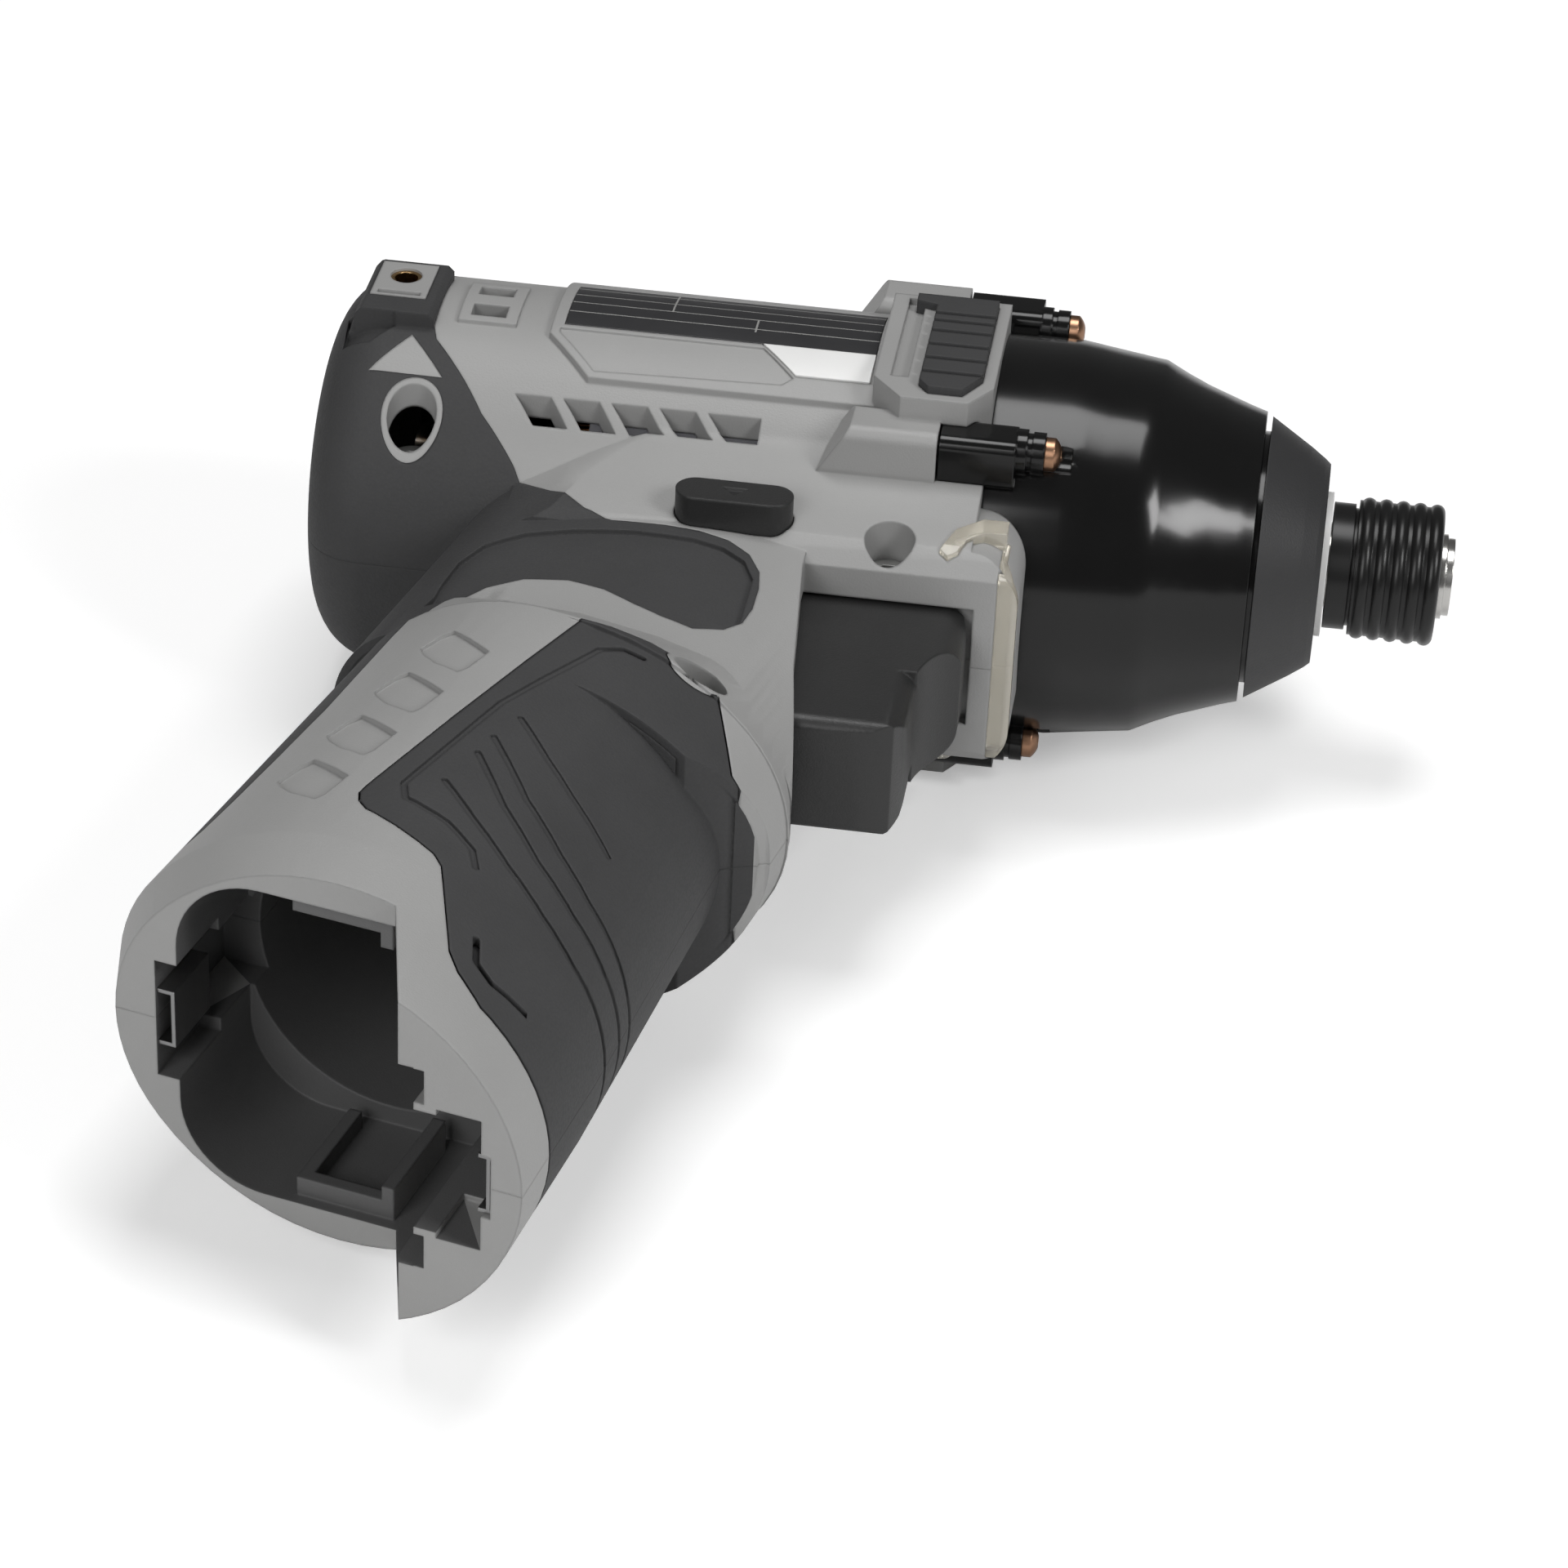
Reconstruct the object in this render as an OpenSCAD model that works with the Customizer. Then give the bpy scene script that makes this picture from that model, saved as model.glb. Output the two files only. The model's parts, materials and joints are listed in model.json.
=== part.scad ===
// Compact brushless impact driver for a plug-in battery pack, shown without the pack.
// Frame: the tool lies on its left side. +X is the nose direction along the spindle,
// +Y is the top of the tool, +Z is its right-hand side. Origin: spindle axis at the nose tip.

/* [Head] */
// outer radius of the motor barrel
barrel_r = 27.6; // [27:0.1:29]
// position of the flat rear face
rear_x = -157.6; // [-160:0.1:-157]
// rounding between barrel and rear face
rear_round = 9; // [7:0.5:10]
// front edge of the grey housing at the sides
shell_front_x = -64.4; // [-65:0.1:-64]
// plastic wall of the barrel
wall = 2.8; // [2.2:0.1:2.9]
// thickness of the rubber laid over the housing
rubber_t = 1.2; // [1:0.1:1.4]

/* [Handle] */
// backward lean of the handle in degrees
handle_lean = 13; // [12:0.5:14]
// handle centre line, measured square to the lean
handle_t = -94.6; // [-95:0.1:-94.2]
// half depth of the handle near the rim, front to rear
handle_a = 30.8; // [30.4:0.1:31.2]
// half width of the handle near the rim
handle_b = 26.3; // [26:0.1:26.6]
// half depth of the handle at its upper end
waist_a = 28.1; // [27.8:0.1:28.6]
// half width of the handle at its upper end
waist_b = 25.5; // [25.2:0.1:25.8]
// distance to the rear part of the rim
rim_rear_s = 166.5; // [164:0.5:169]
// distance to the front part of the rim
rim_front_s = 180.8; // [178:0.5:183]
// top of the battery socket
socket_top_s = 103; // [102:0.5:106]
// radius of the deep bore for the battery pod
pod_r = 19.4; // [19:0.1:20]
// half width of the neck between head and handle
neck_w = 16; // [15.6:0.1:16.6]

/* [Nose] */
// outer radius of the collet sleeve crests
sleeve_r = 9.85; // [9.5:0.05:10.2]
// radius of the anvil shaft
anvil_r = 5.9; // [5.7:0.05:6]
// width across flats of the bit hexagon
bit_af = 6.35; // [6.3:0.01:6.5]
// depth of the bit socket
bit_depth = 25; // [22:1:27]
// front radius of the nose cap
cap_front_r = 13.9; // [13:0.1:14.5]
// rear radius of the nose cap
cap_rear_r = 19.7; // [19.2:0.1:20]
// largest radius of the hammer case cone
case_cone_r = 26; // [25.6:0.1:26.3]
// radius of the hammer case at its rear
case_rear_r = 27.6; // [27.2:0.1:27.9]

/* [Lugs] */
// height of the case screws above and below the axis
lug_y = 18.05; // [17.8:0.05:18.3]
// sideways position of the case screws
lug_z = 22.8; // [22.5:0.1:23]
// half size of the lug block
lug_h = 3.6; // [3.5:0.05:3.7]
// radius of the case screw heads
screw_head_r = 2.85; // [2.6:0.05:2.95]

/* [Trigger and selector] */
// half width of the trigger
trigger_w = 8.5; // [8.2:0.1:8.8]
// travel of the trigger
trigger_travel = 6; // [4:0.5:6.5]
// length of the selector button
selector_l = 15.9; // [15:0.1:17]
// thickness of the selector button
selector_t = 5.7; // [5:0.1:6]
// travel of the selector
selector_travel = 4.2; // [3:0.1:4.6]
// side play of sliding plastic pieces
play = 0.15; // [0.1:0.05:0.3]

/* [Gearbox] */
// gear module
gear_m = 0.7; // [0.7:0.01:0.7]
// teeth of the motor pinion
sun_n = 12; // [12:1:12]
// teeth of each planet
planet_n = 18; // [18:1:18]
// radial running clearance of shafts
fit = 0.03; // [0.02:0.01:0.05]
// coils of the hammer spring
hammer_coils = 5; // [4:1:6]
// wire radius of the hammer spring
hammer_wire = 1.1; // [0.9:0.1:1.2]

/* [Hidden] */
$fn = 96;
grey = [0.6, 0.6, 0.58];
rubber = [0.22, 0.22, 0.23];
black = [0.05, 0.05, 0.055];
steel = [0.6, 0.6, 0.61];
brass = [0.75, 0.6, 0.35];
big = 400;
ring_n = sun_n + 2 * planet_n;
sun_pr = gear_m * sun_n / 2;
planet_pr = gear_m * planet_n / 2;
ring_pr = gear_m * ring_n / 2;
planet_c = sun_pr + planet_pr;
lug_spots = [[lug_y, lug_z], [-lug_y, lug_z], [lug_y, -lug_z], [-lug_y, -lug_z]];
screw_spots = [[-143, -19.4, 11], [-75.4, -33.8, 9.4], [-94.2, -77.4, 9]];
hook_x = -148.3;
hook_y = 2.9;
hook_z = 28.8;
vent_step = 6.65;
arrow_outline = [[-145.1, -8.9], [-150, -14.8], [-139.7, -14.9]];

// turns a profile of [radius, x] about the spindle axis
module turned(a = 360) {
  rotate([0, 90, 0]) rotate_extrude(angle = a) children();
}

// a ring or disc about the spindle axis between two positions
module disc(x0, x1, r) {
  translate([min(x0, x1), 0, 0]) rotate([0, 90, 0]) cylinder(r = r, h = abs(x1 - x0));
}

// local frame of the handle: X square to the lean, -Y down the handle
module lean() {
  rotate([0, 0, -handle_lean]) children();
}

// extrudes a [t, z] outline down the handle
module down(s0, s1) {
  lean() translate([0, -s0, 0]) rotate([90, 0, 0]) linear_extrude(height = s1 - s0) children();
}

// oval made of four tangent arcs
module oval(a, b, r1) {
  r2 = ((a - r1) * (a - r1) + b * b - r1 * r1) / (2 * (b - r1));
  k = r2 / (r2 - r1);
  for (m = [-1, 1]) translate([m * (a - r1), 0]) circle(r = r1);
  intersection() {
    translate([0, b - r2]) circle(r = r2);
    translate([0, r2 - b]) circle(r = r2);
    square([2 * k * (a - r1), 4 * b], center = true);
  }
}

// rounded rectangle from four circles and two bars
module soft_rect(w, h, r) {
  for (i = [-1, 1], j = [-1, 1]) translate([i * (w / 2 - r), j * (h / 2 - r)]) circle(r = r);
  square([w, h - 2 * r], center = true);
  square([w - 2 * r, h], center = true);
}

module side(s) {
  translate([-big / 2, -big / 2, s > 0 ? 0 : -big]) cube(big);
}

module barrel(d) {
  turned() {
    translate([0, rear_x + rear_round]) square([barrel_r - d, shell_front_x - rear_x - rear_round]);
    translate([0, rear_x + d]) square([barrel_r - rear_round, rear_round + 1]);
    intersection() {
      translate([barrel_r - rear_round, rear_x + rear_round]) circle(r = rear_round - d);
      translate([0, rear_x]) square([barrel_r, rear_round + 0.01]);
    }
  }
}

// bar of a case lug along the spindle, rounded at its outer corners
module lug_bar(p, x0, x1, h) {
  q = [p[0] * 1.05, p[1] * 0.974];
  translate([x0, 0, 0]) rotate([90, 0, 90]) linear_extrude(height = x1 - x0) {
    translate(q) soft_rect(2 * h, 2 * h, 1.8);
    translate([q[0] * 0.86, q[1] * 0.86]) square([1.96 * h, 1.96 * h], center = true);
  }
}

// grey ramp behind each lug
module lug_ramp(p, d) {
  zs = p[1] > 0 ? 1 : -1;
  intersection() {
    lug_bar(p, -90, -70.9, lug_h + 0.4 - d);
    rotate([90, 0, 0]) linear_extrude(height = 90, center = true)
      polygon([[-70.9, 0], [-70.9, zs * 40], [-82.6, zs * 26.4], [-89, zs * 16], [-89, 0]]);
  }
}

// chin that frames the trigger, seen from the side and from the front
module chin(d) {
  intersection() {
    translate([0, 0, -30]) linear_extrude(height = 60) polygon([[-57.6 - d, -10], [-57.6 - d, -34.8],
      [-60.4, -37.6 + d], [-92, -37.6 + d], [-105, -36], [-130, -36], [-130, -10]]);
    flank(d);
    chin_plan(-d);
  }
}

// side walls below the barrel, spreading upwards to meet it
module flank(d) {
  rotate([90, 0, 90]) translate([0, 0, -130]) linear_extrude(height = 80) for (m = [0, 1])
    mirror([0, m, 0]) polygon([[0, -1], [0, 22 - d], [-14, 22 - d], [-21.7, 19.6 - d],
      [-28, 17.6 - d], [-34.4, 16.2 - d], [-36 + d, 15.2 - d], [-37.6 + d, 13.4 - d],
      [-37.6 + d, -1]]);
}

// chin seen from below, with its rounded front corners
module chin_plan(g) {
  rotate([90, 0, 0]) linear_extrude(height = 45) {
    translate([-110, -neck_w - g]) square([46, 2 * neck_w + 2 * g]);
    polygon([[-64.4, -23 - g], [-64.4, 23 + g], [-101, 23 + g], [-110, 20.6 + g], [-118, 17.6 + g],
      [-128, 13 + g], [-128, -13 - g], [-118, -17.6 - g], [-110, -20.6 - g], [-101, -23 - g]]);
    translate([-66, -neck_w + 6.4]) square([8.4 + g, 2 * neck_w - 12.8]);
    for (m = [-1, 1]) translate([-64, m * (neck_w - 6.4)]) circle(r = 6.4 + g);
  }
}

// neck between head and handle
module neck(d) {
  intersection() {
    down(30, 95) translate([-94, 0]) oval(32.2 - d, neck_w - d, 14.6 - d);
    translate([0, 0, -30]) linear_extrude(height = 60) polygon([[-160, 0], [-86.2 - d, 0],
      [-86.2 - d, -40], [-85.3 - d, -50], [-84.3 - d, -61.6], [-83 - d, -70], [-81.6 - d, -80],
      [-81.6 - d, -100], [-160, -120]]);
  }
}

// widening from the neck into the collar around the top of the handle
module shoulder(d) {
  hull() {
    lean() translate([-96, -84, 0]) rotate([90, 0, 0])
      linear_extrude(height = 0.5) oval(30 - d, neck_w - 0.2 - d, 14 - d, $fn = 48);
    lean() translate([-91.5, -99.5, 0]) rotate([90, 0, 0])
      linear_extrude(height = 0.5) oval(31 - d, waist_b - 0.2 - d, 21 - d, $fn = 48);
  }
  // the collar steps back to the handle at the front
  intersection() {
    down(99.7, 116) translate([-91.5, 0]) oval(30.8 - d, waist_b - 0.8 - d, 20.8 - d);
    lean() translate([0, 0, -30]) linear_extrude(height = 60) polygon([[-120, -95],
      [-55, -95], [-55, -105 - d], [-61.2 - d, -106 - d], [-70 - d, -112.6], [-120, -112.6]]);
  }
}

module handle_tube(d) {
  difference() {
    union() {
      hull() {
        lean() translate([handle_t - 0.2, -99.5, 0]) rotate([90, 0, 0])
          linear_extrude(height = 0.5) oval(waist_a - d, waist_b - d, 21.5 - d, $fn = 64);
        lean() translate([handle_t + 1.1, -158, 0]) rotate([90, 0, 0])
          linear_extrude(height = 0.5) oval(handle_a - d, handle_b - d, 22 - d, $fn = 64);
      }
      hull() {
        lean() translate([handle_t + 1.1, -158, 0]) rotate([90, 0, 0])
          linear_extrude(height = 0.5) oval(handle_a - d, handle_b - d, 22 - d, $fn = 64);
        lean() translate([-88.2, -rim_front_s + 0.5, 0]) rotate([90, 0, 0])
          linear_extrude(height = 0.5) oval(26.3 - d, 25.1 - d, 21 - d, $fn = 64);
      }
    }
    lean() translate([0, 0, -60]) linear_extrude(height = 120) polygon([
      [-140, -rim_rear_s], [-84.2, -rim_rear_s], [-77.3, -rim_front_s],
      [-77.3, -200], [-140, -200]]);
  }
}

module outer(d) {
  barrel(d);
  chin(d);
  neck(d);
  shoulder(d);
  handle_tube(d);
}

// grey raised parts of the head: lug ramps, side frames, label bed and vent blocks
module head_extras(m) {
  for (p = lug_spots) lug_ramp(p, 0);
  mirror([0, 0, m > 0 ? 0 : 1]) {
    difference() {
      translate([0, 0, 12]) linear_extrude(height = 17.4) polygon([[-80.8, 11.6], [-80.8, -13],
        [-76.6, -18.3], [-67.4, -18.3], [-64.4, -13.4], [-64.4, 11.6]]);
      translate([0, 0, 27.2]) linear_extrude(height = 10) pad_outline(0.05);
      translate([-78.6, -12.5, 28.4]) cube([2.4, 23, 4]);
    }
    intersection() {
      disc(-139.4, -131.2, barrel_r + 0.5);
      translate([-139.4, -5.6, 0]) cube([8.2, 11.2, 40]);
    }
    intersection() {
      barrel(0);
      linear_extrude(height = 40) polygon(arrow_outline);
    }
  }
  if (m > 0) intersection() {
    disc(-126.3, -80.4, 28.4);
    difference() {
      linear_extrude(height = 40) polygon([[-126.3, 13], [-126.3, -6.8], [-119.8, -13.6],
        [-80.4, -13.6], [-80.4, 13]]);
      difference() {
        linear_extrude(height = 40) polygon([[-125, -5.6], [-125, -6.4], [-119.2, -12.6],
          [-93.4, -11.8], [-92, -10.6], [-96.8, -5.6]]);
        disc(-130, -80, 28.15);
      }
    }
  }
}

// rubber pad at the side of the head
module pad_outline(g) {
  polygon([[-77.4 - g, 10.2], [-77.4 - g, 8.2], [-74.5 - g, 7.4], [-74.5 - g, -14.6 - g],
    [-73.1, -16.6 - g], [-68.4, -16.6 - g], [-66.1 + g, -12.2], [-66.1 + g, 10.2]]);
}

// hollow inside both halves
module inside() {
  disc(-64.3, rear_x + 8, barrel_r - wall);
  disc(-148, rear_x + 3.4, 20);
  intersection() {
    down(35, 95) translate([-94, 0]) oval(29, 13.4, 11);
    translate([0, 0, -30]) linear_extrude(height = 60) polygon([[-88, -20], [-88, -69.5], [-96, -84],
      [-118, -82], [-133.6, -58], [-134.5, -38], [-138, -24], [-138, -20]]);
  }
  trigger_room();
  down(82, socket_top_s + 0.1) translate([handle_t, 0]) square([34, 20], center = true);
  down(socket_top_s, 190) translate([-93.6, 0]) circle(r = pod_r);
  down(rim_rear_s - 19, 190) mouth();
}

// outline of the socket mouth, with a narrower way for the battery rail at the front
module mouth() {
  intersection() {
    translate([-90.5, 0]) soft_rect(44, 44, 11);
    translate([-120, -30]) square([42, 60]);
  }
  translate([-80, -14.2]) square([4.6, 28.4]);
  translate([-80, -8.4]) square([12.8, 16.8]);
}

// opening that the trigger moves in
module trigger_room() {
  translate([-95, -69.2, -trigger_w - 0.5]) cube([31.6, 33.8, 2 * trigger_w + 1]);
}

// battery socket details cut into the rim: latch slots and pockets front and rear
module socket_cuts() {
  lean() {
    translate([-115.4, -rim_rear_s - 1, -8.3]) cube([6, 12, 16.6]);
    translate([-118, -rim_rear_s + 7, -6.5]) cube([8, 16, 13]);
    translate([-69, -rim_front_s - 1, -4.4]) cube([3.2, 14, 8.8]);
    translate([-72.6, -rim_front_s - 1, -9.2]) cube([5.6, 9, 18.4]);
    translate([-69, -rim_front_s + 8, -6.4]) cube([4.2, 8, 12.8]);
    // cut-back end of the rail wall
    for (m = [0, 1]) mirror([0, 0, m]) translate([-78.1, -rim_front_s - 1, 9.4]) cube([4, 4, 4.7]);
    translate([-82, -rim_front_s + 22, -16]) rotate([90, 0, 0]) cylinder(r = 1.1, h = 30,
      center = true);
  }
}

// ribs that guide the battery inside the socket mouth
module socket_ribs(m) {
  mirror([0, 0, m > 0 ? 0 : 1]) intersection() {
    lean() {
      translate([-86.8, -rim_rear_s + 1.6, 17.4]) cube([1.6, 15, 6]);
      translate([-98, -rim_rear_s + 1.6, 19.4]) cube([12, 1.8, 5]);
      translate([-98, -rim_rear_s + 1.6, 19.4]) cube([1.6, 15, 5]);
    }
    down(140, 175) translate([handle_t, 0]) oval(29, waist_b - 1, 21);
  }
}

module recess(p) {
  translate([p[0], p[1], p[2]]) cylinder(r = 3.4, h = 40);
}

// slots of the cooling air
module vents(m) {
  mirror([0, 0, m > 0 ? 0 : 1]) {
    for (i = [0:4]) translate([-129.4 + i * vent_step, -19.3, 12]) linear_extrude(height = 18)
      polygon([[0, 3.4], [3.1, 0], [i == 4 ? 7.3 : 7.9, 0], [i == 4 ? 7.3 : 5, 3.4]]);
    for (a = [84.4, 96]) rotate([a, 0, 0]) translate([-137.8, 20, -1.4]) cube([4.9, 12, 2.8]);
  }
}

// shallow finger rests in the grey strip behind the grip
module strip_rests(m) {
  mirror([0, 0, m > 0 ? 0 : 1]) lean() for (i = [0:3]) translate([-101.2 - i * 1.3, -112.4 - i * 10.8, 0])
    linear_extrude(height = 40) polygon([[-4.7, 0.4], [-3.3, 3.6], [-2, 4.8], [4.7, 0.2],
      [3.8, -4.4], [3, -5.6], [-1, -3.6], [-3.4, -1.4]]);
}

// side outlines of the rubber areas, drawn from the right-hand side
module boot_outline() {
  polygon([[-143, 60], [-143, -5], [-141.6, -9.2], [-136.5, -15], [-133.5, -18.6], [-128.2, -23],
    [-121.9, -29.6], [-116.5, -34], [-112.5, -35.6], [-105.2, -35.8], [-100.6, -36.3],
    [-96.5, -37.6], [-93.3, -40.2], [-91.4, -44], [-90.9, -48], [-91, -53], [-91.8, -56.8],
    [-93.9, -59.2], [-97.8, -60.4], [-102.3, -58.7], [-106, -56.8], [-110.5, -54], [-115.4, -52.4],
    [-121.3, -52.6], [-125.8, -55], [-128.6, -58.4], [-134, -75.5], [-138.4, -94.9],
    [-141.8, -105.2], [-145.4, -115], [-147.6, -120], [-165, -127], [-190, -60], [-190, 60]]);
}

// hollow in the rubber for the side of the hand
module dish_outline() {
  polygon([[-92.2, -62], [-92, -46], [-93.7, -42], [-96.9, -39.6], [-101, -38.4], [-109, -38],
    [-117, -38.6], [-123.5, -39.8], [-128.4, -42.6], [-131, -47], [-132, -53], [-132.6, -62]]);
}

module grip_outline(g = 0) {
  lean() translate([-78 * g, -132 * g]) scale(1 - g) polygon([[-89.4, -98.6], [-97.2, -146.2],
    [-97.4, -148.2], [-96.6, -150], [-95, -151.4], [-84.6, -155.2], [-83, -156.6], [-76.6, -168.6],
    [-74.6, -170.6], [-71, -172.4], [-50, -172.4], [-50, -110], [-65.4, -108], [-71, -99],
    [-74.8, -98.6], [-78.5, -96.4], [-83, -96], [-88, -97]]);
}

// swooping lines pressed into the grip, seen from the side
module grip_lines() {
  for (p = [
    [[-101, -81], [-103.6, -80.6], [-106.4, -82], [-115.6, -98.8], [-123.4, -119.6],
      [-122.6, -122.6], [-117, -125.4], [-113.4, -128.6], [-112.4, -131.6]],
    [[-110.2, -142.6], [-109.6, -146], [-107.6, -147.4], [-103.4, -147.2]],
    [[-118.9, -117.5], [-114.6, -122.8], [-109.4, -128.2], [-104.6, -132], [-100.3, -134.6],
      [-94, -136.4]],
    [[-116.3, -110.3], [-111.6, -118.6], [-106.5, -124.6], [-101.5, -128.2], [-97.2, -130.2],
      [-91, -131.4]],
    [[-115.1, -106.3], [-109.4, -115.6], [-104.2, -121.2], [-100.2, -124.3], [-95.1, -126.7],
      [-89, -127.6]],
    [[-112.8, -101], [-108.6, -106.6], [-104.8, -110.7], [-99.3, -115.4]]
  ]) stroke(p, 0.8);
}

// line of even width through a list of points
module stroke(p, w) {
  for (i = [0:len(p) - 2]) {
    v = p[i + 1] - p[i];
    translate(p[i]) circle(r = w / 2, $fn = 12);
    translate(p[i]) rotate(atan2(v[1], v[0])) translate([0, -w / 2]) square([norm(v), w]);
  }
}

module boot_area(m) {
  translate([0, 0, m > 0 ? 0 : -60]) linear_extrude(height = 60) boot_outline();
}

module grip_area(m, g = 0) {
  translate([0, 0, m > 0 ? 0 : -60]) linear_extrude(height = 60) difference() {
    grip_outline(g);
    if (m > 0) translate([screw_spots[2][0], screw_spots[2][1]]) circle(r = 4.3 + 20 * g);
  }
}

module housing(m) {
  difference() {
    intersection() {
      union() {
        outer(rubber_t);
        difference() {
          outer(0);
          boot_area(1);
          boot_area(-1);
          grip_area(1);
          grip_area(-1);
        }
        head_extras(m);
        if (m > 0) screw_bosses();
      }
      side(m);
    }
    inside();
    socket_cuts();
    vents(m);
    difference() {
      strip_rests(m);
      down(100, 160) translate([handle_t, 0]) oval(30, waist_b - 0.6, 22);
    }
    // room for the hammer case in front of the shell
    disc(shell_front_x, -40, case_rear_r + 0.05);
    // lug bars of the hammer case stand here
    for (p = lug_spots) lug_bar(p, -70.9, -50, lug_h + 0.05);
    // room for the light lens and its board
    lens_shape(0.05);
    translate([-60.7, -35.4, -9.6]) cube([1.6, 5.4, 19.2]);
    // sliding selector
    selector_shape(-60, 60, play);
    if (m > 0) for (p = screw_spots) recess(p);
    for (p = screw_spots) translate([p[0], p[1], -12]) cylinder(r = 1.25, h = 40);
    // pockets for the hook plates and their inserts
    hook_pocket(m);
    hook_body(m);
    if (m > 0) label_pocket();
  }
  socket_ribs(m);
  difference() {
    intersection() {
      for (p = screw_spots) translate([p[0], p[1], m > 0 ? 0 : -11.8])
        cylinder(r = 3.75, h = m > 0 ? p[2] + 1 : 11.8);
      side(m);
    }
    for (p = screw_spots) translate([p[0], p[1], -12]) cylinder(r = m > 0 ? 1.6 : 1.25, h = 60);
    if (m > 0) for (p = screw_spots) recess(p);
    disc(-150, -50, barrel_r - wall);
    lens_shape(0.05);
    trigger_room();
  }
}

// grey rims around the sunk screws
module screw_bosses() {
  intersection() {
    translate([screw_spots[0][0], screw_spots[0][1], 0]) cylinder(r = 4.2, h = 30);
    barrel(0);
  }
}

// band of the light guide, following the front edge of the chin
module lens_shape(g) {
  intersection() {
    chin_plan(g);
    translate([-60.4 - g, 0, 0]) rotate([90, 0, 90]) linear_extrude(height = 2.9 + g + g) difference() {
      polygon([[-28.8 + g, -neck_w - g], [-34, -neck_w - g], [-37.6 - g, -neck_w + 2.2 - g],
        [-37.6 - g, neck_w - 2.2 + g], [-34, neck_w + g], [-28.8 + g, neck_w + g]]);
      polygon([[0, -neck_w + 1.8 + g], [-33.4, -neck_w + 1.8 + g], [-35.9 + g, -neck_w + 3.4 + g],
        [-35.9 + g, neck_w - 3.4 - g], [-33.4, neck_w - 1.8 - g], [0, neck_w - 1.8 - g]]);
    }
  }
  intersection() {
    flank(-0.5 - g);
    for (m = [0, 1]) mirror([0, 0, m]) translate([0, 0, 14.6 - g]) linear_extrude(height = 4)
      polygon([[-60 , -28.8 + g], [-63.4, -28.8 + g], [-66.8 - g, -31.2], [-68.6 - g, -35.2],
        [-67.4, -36 - g], [-66.2 + g, -35.2 - g], [-65.2 + g, -33], [-63 + g, -31.4 - g],
        [-60, -31.4 - g]]);
  }
}

module hook_pocket(m) {
  translate([hook_x, hook_y, m > 0 ? 21 : -31]) cylinder(r = 2.25, h = 10);
}

module label_pocket() {
  intersection() {
    linear_extrude(height = 40) polygon([[-124.6, 8.2], [-124.6, -4.8], [-97.2, -4.8],
      [-91.7, -10.3], [-81.3, -10.3], [-81.3, 8.2]]);
    difference() {
      disc(-125, -81, 30);
      disc(-126, -80, 27.9);
    }
  }
}

// block with bevelled edges that holds the hook plate
module hook_block() {
  rotate([90, 0, 0]) translate([0, 0, -7.4]) linear_extrude(height = 15) polygon([[-5.2, 0],
    [-5.2, hook_z - 21.2], [-4.4, hook_z - 20.2], [-3.95, hook_z - 20], [5.1, hook_z - 20],
    [5.9, hook_z - 20.8], [5.9, 0]]);
}

module hook_body(m) {
  difference() {
    mirror([0, 0, m > 0 ? 0 : 1]) translate([hook_x, 0, 20]) hook_block();
    barrel(rubber_t);
  }
}

module boot(m) {
  difference() {
    union() {
      difference() {
        intersection() {
          outer(0);
          boot_area(m);
          side(m);
        }
        outer(rubber_t);
      }
      // raised block that carries the hook plate
      hook_body(m);
    }
    difference() {
      translate([0, 0, m > 0 ? 0 : -40]) linear_extrude(height = 40) dish_outline();
      neck(0.65);
    }
    mirror([0, 0, m > 0 ? 0 : 1]) {
      translate([hook_x - 3.95, -3.25, hook_z - 1]) cube([7.9, 10, 2]);
      linear_extrude(height = 40) polygon(arrow_outline);
      difference() {
        linear_extrude(height = 40) polygon([[-155, -3.9], [-147.6, -3.9], [-147.4, -7.2],
          [-150.8, -10.5], [-154.6, -9.9]]);
        barrel(0.9);
        translate([hook_x - 6, -7.4, 20]) cube([12, 16, 10]);
      }
    }
    translate([hook_x, hook_y, -40]) cylinder(r = 2.25, h = 80);
    if (m > 0) translate([screw_spots[0][0], screw_spots[0][1], 0]) cylinder(r = 4.2, h = 40);
    vents(m);
    selector_shape(-60, 60, 0.6);
    inside();
  }
}

module grip(m) {
  difference() {
    intersection() {
      outer(0);
      grip_area(m, 0.01);
      side(m);
    }
    outer(rubber_t);
    difference() {
      translate([0, 0, m > 0 ? 0 : -60]) linear_extrude(height = 60) grip_lines();
      grip_core(0.4);
    }
  }
}

// upper part of the handle under the pressed lines
module grip_core(d) {
  hull() {
    lean() translate([handle_t - 0.2, -90, 0]) rotate([90, 0, 0])
      linear_extrude(height = 0.5) oval(waist_a - d, waist_b - d, 21.5 - d, $fn = 64);
    lean() translate([handle_t + 1.1, -158, 0]) rotate([90, 0, 0])
      linear_extrude(height = 0.5) oval(handle_a - d, handle_b - d, 22 - d, $fn = 64);
  }
}

module housing_right() color(grey) housing(1);
module housing_left() color(grey) housing(-1);
module boot_right() color(rubber) boot(1);
module boot_left() color(rubber) boot(-1);
module grip_right() color(rubber) grip(1);
module grip_left() color(rubber) grip(-1);

// ribbed rubber pad on each side of the head
module bumper(m) {
  mirror([0, 0, m > 0 ? 0 : 1]) difference() {
    translate([0, 0, 27.2]) linear_extrude(height = 3.3) pad_outline(0);
    for (y = [-12.6, -8.6, -4.6, -0.6, 2.4, 4.6]) translate([-75, y, 29.9]) cube([20, 0.8, 2]);
    disc(-80, -60, case_rear_r + 0.1);
  }
}
module bumper_right() color(rubber) bumper(1);
module bumper_left() color(rubber) bumper(-1);

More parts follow.
